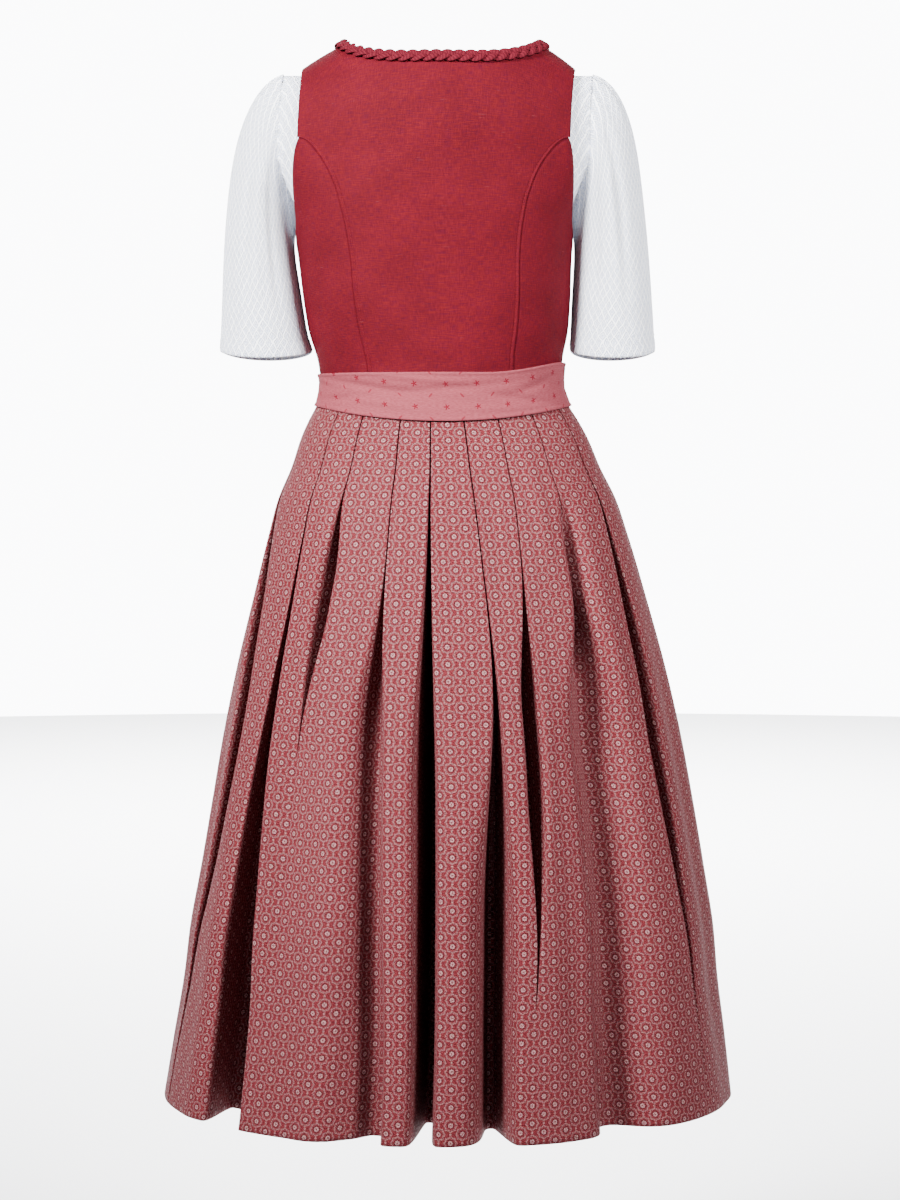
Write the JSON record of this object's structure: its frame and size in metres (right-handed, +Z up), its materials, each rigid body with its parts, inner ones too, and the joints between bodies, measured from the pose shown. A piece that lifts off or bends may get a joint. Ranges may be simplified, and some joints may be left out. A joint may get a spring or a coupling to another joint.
{
  "type": "dirndl with blouse and apron",
  "caption": "Worn dirndl set: sleeveless fitted bodice on a pleated midi skirt, cropped half-sleeve blouse beneath, apron tied with a bow.",
  "frame": {"origin": "where the wearer's shoulders hold it: midway between the shoulders, at the height of the strap ends", "axes": "+Z up, the front faces -Y, the wearer's left is +X"},
  "size_m": [0.6145, 0.5324, 1.1323],
  "materials": {
    "red_linen": "slubbed matt linen weave",
    "red_braid": "three-strand plait of the bodice linen",
    "buttons": "plain domed button, satin",
    "rose_jacquard": "fine jacquard with small rosettes, slight sheen",
    "white_cotton": "white cotton with a woven relief",
    "pink_apron": "pink cotton satin with a small scattered motif"
  },
  "bodies": {
    "root": {"bodice_back": "red_linen", "bodice_side_back_left": "red_linen", "bodice_side_back_right": "red_linen", "bodice_side_front_left": "red_linen", "bodice_side_front_right": "red_linen", "bodice_front_left": "red_linen", "bodice_front_right": "red_linen", "neck_braid": "red_braid", "button_1": "buttons", "button_2": "buttons", "button_3": "buttons", "button_4": "buttons", "button_5": "buttons", "button_6": "buttons", "skirt_back": "rose_jacquard", "skirt_front": "rose_jacquard", "blouse_back": "white_cotton", "blouse_front": "white_cotton", "blouse_neck_binding": "white_cotton", "sleeve_left": "white_cotton", "sleeve_right": "white_cotton", "apron_waistband": "pink_apron", "apron_tie_back": "pink_apron", "apron_panel": "pink_apron", "bow_knot": "pink_apron", "bow_loop_left": "pink_apron", "bow_loop_right": "pink_apron", "bow_end_left": "pink_apron", "bow_end_right": "pink_apron"}
  },
  "joints": []
}
